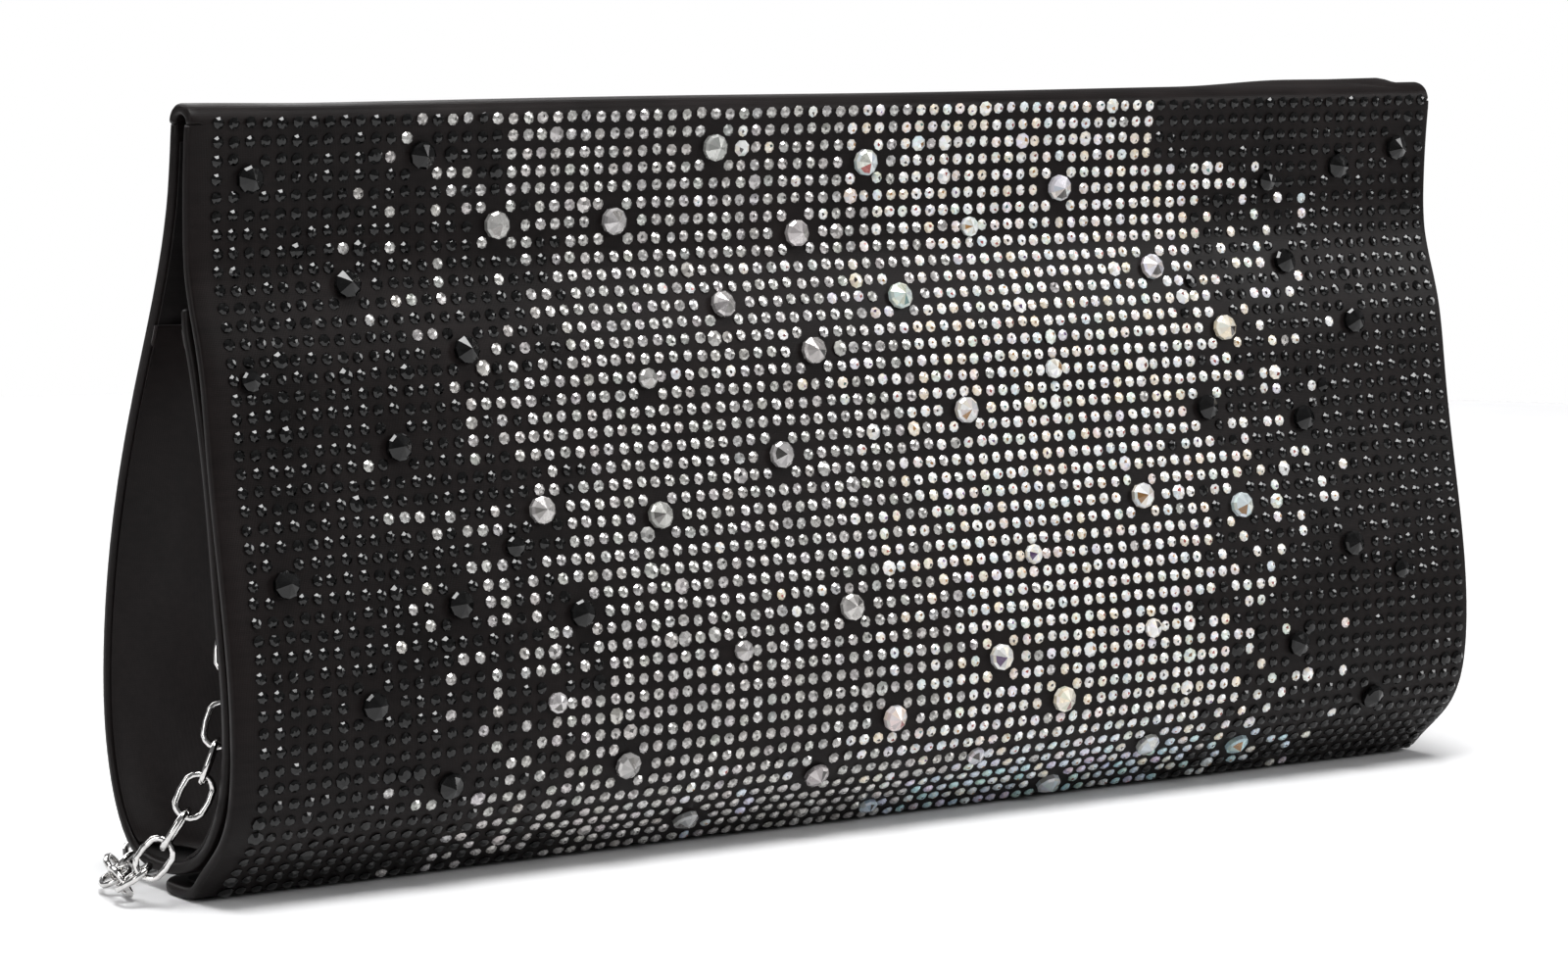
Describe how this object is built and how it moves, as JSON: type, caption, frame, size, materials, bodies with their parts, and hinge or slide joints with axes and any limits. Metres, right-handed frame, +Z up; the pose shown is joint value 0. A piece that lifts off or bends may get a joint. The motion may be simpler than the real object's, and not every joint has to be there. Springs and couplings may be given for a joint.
{
  "type": "evening bag",
  "caption": "Satin evening clutch: full crystal flap hinged at the top fold, boarded body, folded gussets, magnetic snap and drop-in chain.",
  "frame": {"origin": "middle of the bag's own box in X and Y, at the level of the surface it stands on", "axes": "+X along the bag's width, front of the bag towards -Y, +Z up"},
  "size_m": [0.2882, 0.0952, 0.1307],
  "materials": {
    "black_satin": "black satin with a soft sheen",
    "lining_satin": "black lining satin",
    "stiff_board": "stiff bag board, hidden under cloth",
    "snap_metal": "bright nickel",
    "chain_silver": "polished silver-tone metal",
    "small_crystal": "foil-backed faceted glass, jet to clear to aurora",
    "silver_crystal": "clear faceted glass with a silver foil back",
    "aurora_crystal": "clear faceted glass with an aurora coating",
    "jet_crystal": "jet black faceted glass",
    "tie_ribbon": "narrow black ribbon"
  },
  "bodies": {
    "bag_body": {"body_satin": "black_satin", "back_board": "stiff_board", "base_board": "stiff_board", "front_board": "stiff_board", "body_lining": "lining_satin", "slip_pocket": "lining_satin", "hinge_fold": "black_satin", "snap_socket": "snap_metal", "snap_socket_washer": "snap_metal", "left_gusset": "black_satin", "right_gusset": "black_satin", "left_chain_tab": "black_satin", "right_chain_tab": "black_satin", "chain_left": "chain_silver", "chain_right": "chain_silver", "chain_hank": "chain_silver", "hank_tie": "tie_ribbon"},
    "flap": {"flap_satin": "black_satin", "flap_board": "stiff_board", "flap_lining": "lining_satin", "crystal_mesh": "small_crystal", "silver_crystals": "silver_crystal", "aurora_crystals": "aurora_crystal", "jet_crystals": "jet_crystal", "snap_stud": "snap_metal", "snap_stud_washer": "snap_metal"},
    "left_ring": {"left_chain_ring": "chain_silver", "left_jump_ring": "chain_silver"},
    "right_ring": {"right_chain_ring": "chain_silver", "right_jump_ring": "chain_silver"}
  },
  "joints": [
    {"name": "flap_hinge", "type": "hinge", "parent": "bag_body", "child": "flap", "pos_m": [0, -0.0054, 0.1269], "axis": [-1, 0, 0], "range_deg": [0, 170], "deforming": ["hinge_fold"]},
    {"name": "left_ring_swing", "type": "hinge", "parent": "bag_body", "child": "left_ring", "pos_m": [-0.106, 0.00134, 0.0948], "axis": [1, 0, 0], "range_deg": [0, 30]},
    {"name": "right_ring_swing", "type": "hinge", "parent": "bag_body", "child": "right_ring", "pos_m": [0.106, 0.00134, 0.0948], "axis": [1, 0, 0], "range_deg": [0, 30]}
  ]
}
